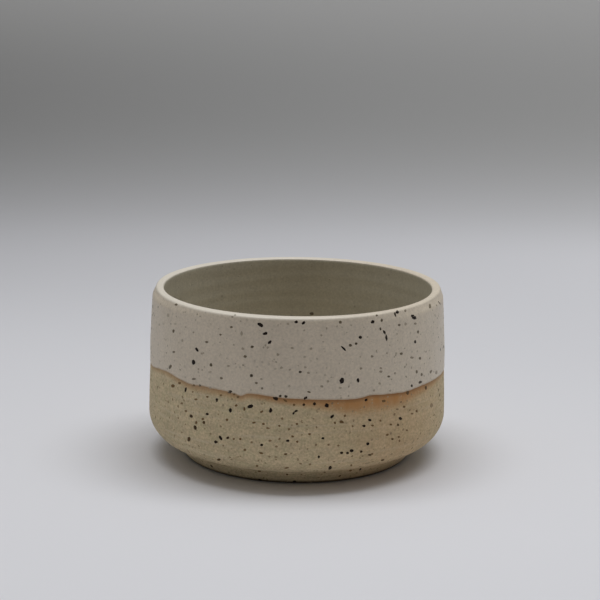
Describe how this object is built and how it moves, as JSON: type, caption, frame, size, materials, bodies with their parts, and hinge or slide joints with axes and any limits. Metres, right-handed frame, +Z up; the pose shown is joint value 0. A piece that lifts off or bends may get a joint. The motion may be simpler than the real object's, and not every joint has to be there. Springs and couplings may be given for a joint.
{
  "type": "pottery mug",
  "caption": "Handleless stoneware mug with a rounded base on a turned foot, a pale glaze dipped over the upper wall and lip, and a poured liner glaze inside.",
  "frame": {"origin": "centre of the foot's resting plane", "axes": "+Z up along the mug's axis of turning, +X to the right and -Y towards the viewer of the picture"},
  "size_m": [0.105, 0.105, 0.06],
  "materials": {
    "bare_clay": "unglazed, speckled buff stoneware with fine turning lines",
    "dipped_glaze": "satin off-white with dark mineral specks",
    "liner_glaze": "satin off-white with dark mineral specks"
  },
  "bodies": {
    "root": {"clay_body": "bare_clay", "outer_glaze": "dipped_glaze", "liner_glaze": "liner_glaze"}
  },
  "joints": []
}
